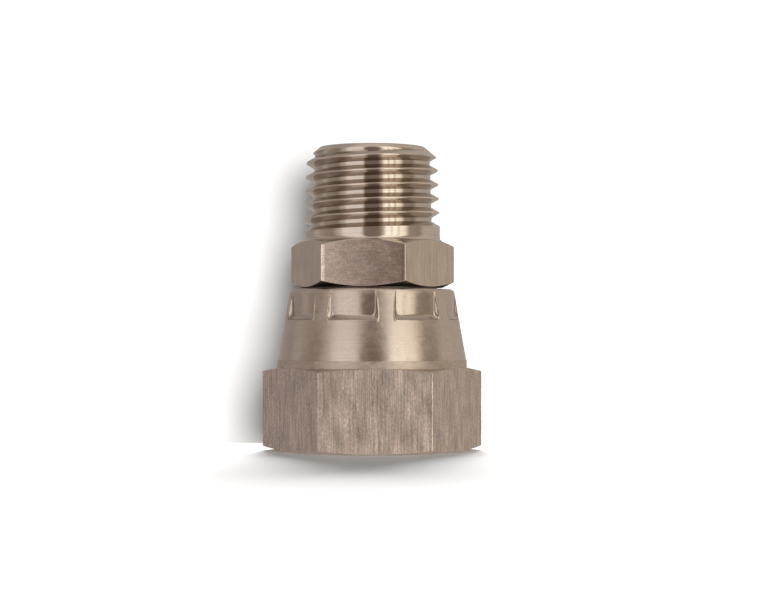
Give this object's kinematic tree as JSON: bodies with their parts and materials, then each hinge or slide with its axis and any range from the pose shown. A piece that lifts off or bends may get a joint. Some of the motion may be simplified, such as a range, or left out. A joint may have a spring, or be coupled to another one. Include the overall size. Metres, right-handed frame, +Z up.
{
  "type": "air hose swivel adapter",
  "caption": "Straight stainless pipe adapter with a tapered male pipe thread, a wrench hexagon and a free-turning female union nut held by its crimped skirt.",
  "frame": {"origin": "centre of the nut's open end, the flat ring on which the adapter stands", "axes": "+Z up the flow axis towards the male thread; -Y towards the viewer of the picture; +X to the right"},
  "size_m": [0.022, 0.0194, 0.0303],
  "materials": {
    "body_steel": "bright turned stainless steel, drawn hexagon flats",
    "nut_steel": "satin turned skirt and drawn hexagon flats, stainless steel"
  },
  "bodies": {
    "stem": {"adapter_body": "body_steel"},
    "nut": {"swivel_nut": "nut_steel"}
  },
  "joints": [
    {"name": "nut_swivel", "type": "hinge", "parent": "stem", "child": "nut", "pos_m": [0, 0, 0], "axis": [0, 0, 1], "continuous": true}
  ]
}
